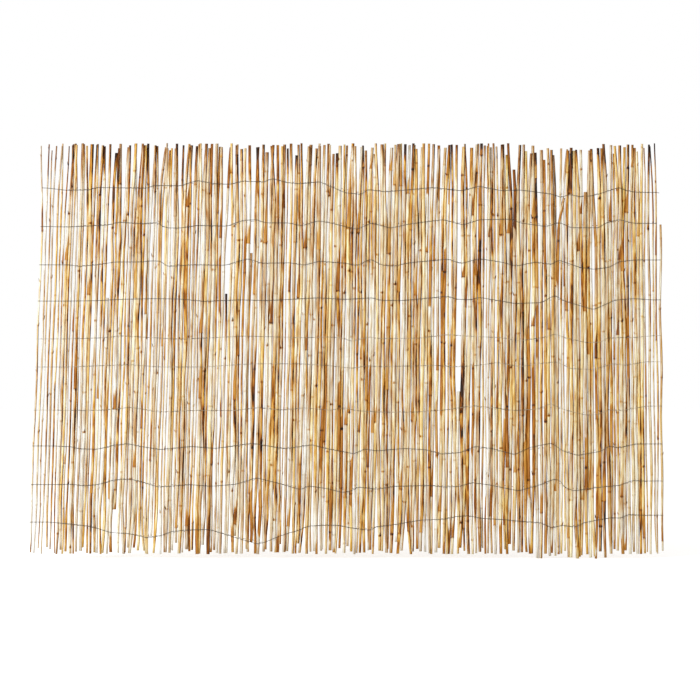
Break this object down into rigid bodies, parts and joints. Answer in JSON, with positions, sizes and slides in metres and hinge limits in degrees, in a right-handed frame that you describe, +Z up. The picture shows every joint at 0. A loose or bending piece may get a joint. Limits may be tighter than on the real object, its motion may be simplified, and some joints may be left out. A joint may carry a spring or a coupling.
{
  "type": "peeled reed screening",
  "caption": "Upright screen of peeled reeds set side by side and bound by rows of thin wire, with ragged ends and narrow gaps, tied to a fence or railing for shelter.",
  "frame": {"origin": "middle of the overall box at the height of the lowest reed foot", "axes": "+X along the screen to the viewer's right, +Z up the reeds, the front looks towards -Y"},
  "size_m": [1.5604, 0.0102, 1.0206],
  "materials": {
    "reed": "dry peeled reed, pale straw with tan and brown stems, faint satin",
    "wire": "thin galvanised wire, dulled dark grey"
  },
  "bodies": {
    "root": {"reed_mat": "reed", "reed_left_1": "reed", "reed_left_2": "reed", "reed_left_3": "reed", "reed_left_4": "reed", "reed_left_5": "reed", "reed_left_6": "reed", "reed_left_7": "reed", "reed_right_1": "reed", "reed_right_2": "reed", "reed_right_3": "reed", "reed_right_4": "reed", "reed_right_5": "reed", "wire_01_front": "wire", "wire_01_back": "wire", "wire_02_front": "wire", "wire_02_back": "wire", "wire_03_front": "wire", "wire_03_back": "wire", "wire_04_front": "wire", "wire_04_back": "wire", "wire_05_front": "wire", "wire_05_back": "wire", "wire_06_front": "wire", "wire_06_back": "wire", "wire_07_front": "wire", "wire_07_back": "wire", "wire_08_front": "wire", "wire_08_back": "wire", "wire_09_front": "wire", "wire_09_back": "wire", "wire_10_front": "wire", "wire_10_back": "wire"}
  },
  "joints": []
}
